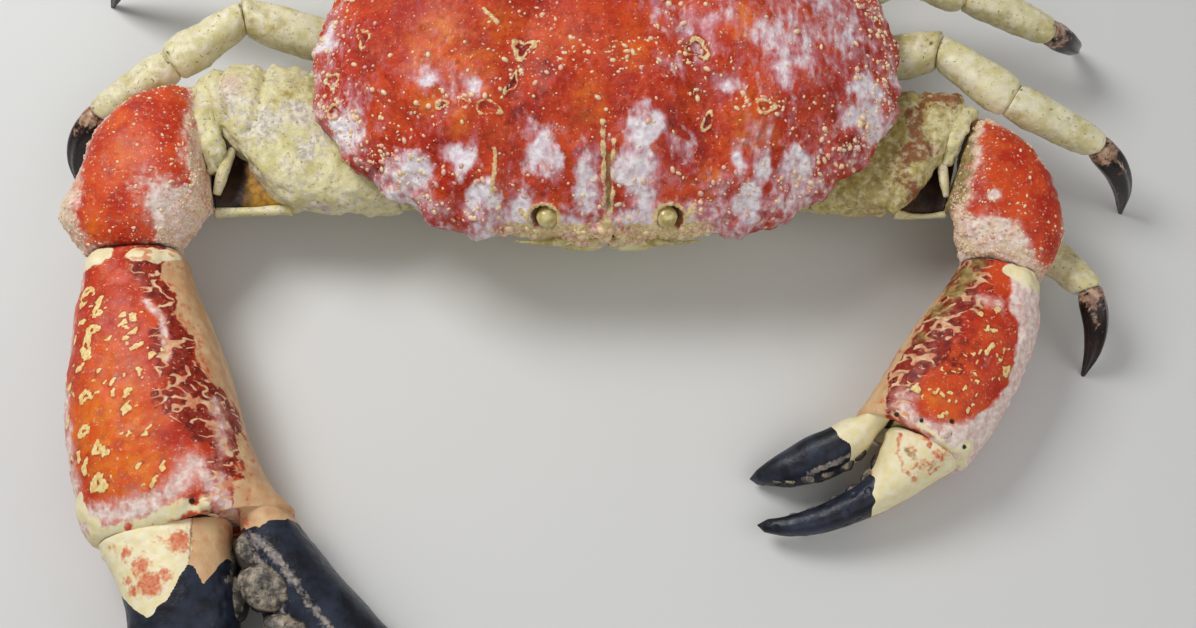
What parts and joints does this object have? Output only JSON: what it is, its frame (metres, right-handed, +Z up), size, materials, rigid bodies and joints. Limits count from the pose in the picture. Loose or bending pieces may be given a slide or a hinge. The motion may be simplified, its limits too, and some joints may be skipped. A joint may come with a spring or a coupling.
{
  "type": "giant crab",
  "caption": "Life-size still model of a giant crab lying on its belly, one claw much the larger, both reaching forward with open fingers.",
  "frame": {"origin": "on the floor, at the flat of the folded tail under the middle of the shell", "axes": "+Z up, -Y the way the crab faces, +X the crab's own left"},
  "size_m": [0.6648, 0.6213, 0.1348],
  "materials": {
    "shell_red": "satin red shell with pale frosting and cream beads",
    "shell_cream": "satin cream shell",
    "claw_red": "satin red-orange shell with cream spots",
    "finger_black": "glossy blue-black horny shell",
    "leg_cream": "satin cream shell with brown dots",
    "leg_tip": "glossy brown-black leg tip",
    "eye": "glossy eye on a pale stalk"
  },
  "bodies": {
    "root": {"carapace": "shell_red", "thorax": "shell_cream", "abdomen": "shell_cream", "eye_right": "eye", "eye_left": "eye", "antenna_right": "shell_cream", "antenna_left": "shell_cream", "antennule_right": "shell_cream", "antennule_left": "shell_cream", "maxilliped_right": "shell_cream", "maxilliped_left": "shell_cream", "cheliped_right_ischium": "shell_cream", "cheliped_right_merus": "shell_cream", "cheliped_right_carpus": "claw_red", "cheliped_right_palm": "claw_red", "cheliped_right_movable_finger": "finger_black", "cheliped_right_fixed_finger": "finger_black", "cheliped_left_ischium": "shell_cream", "cheliped_left_merus": "shell_cream", "cheliped_left_carpus": "claw_red", "cheliped_left_palm": "claw_red", "cheliped_left_movable_finger": "finger_black", "cheliped_left_fixed_finger": "finger_black", "leg2_right_merus": "leg_cream", "leg2_right_carpus": "leg_cream", "leg2_right_propodus": "leg_cream", "leg2_right_dactyl": "leg_tip", "leg2_left_merus": "leg_cream", "leg2_left_carpus": "leg_cream", "leg2_left_propodus": "leg_cream", "leg2_left_dactyl": "leg_tip", "leg3_right_merus": "leg_cream", "leg3_right_carpus": "leg_cream", "leg3_right_propodus": "leg_cream", "leg3_right_dactyl": "leg_tip", "leg3_left_merus": "leg_cream", "leg3_left_carpus": "leg_cream", "leg3_left_propodus": "leg_cream", "leg3_left_dactyl": "leg_tip", "leg4_right_merus": "leg_cream", "leg4_right_carpus": "leg_cream", "leg4_right_propodus": "leg_cream", "leg4_right_dactyl": "leg_tip", "leg4_left_merus": "leg_cream", "leg4_left_carpus": "leg_cream", "leg4_left_propodus": "leg_cream", "leg4_left_dactyl": "leg_tip", "leg5_right_merus": "leg_cream", "leg5_right_carpus": "leg_cream", "leg5_right_propodus": "leg_cream", "leg5_right_dactyl": "leg_tip", "leg5_left_merus": "leg_cream", "leg5_left_carpus": "leg_cream", "leg5_left_propodus": "leg_cream", "leg5_left_dactyl": "leg_tip"}
  },
  "joints": []
}
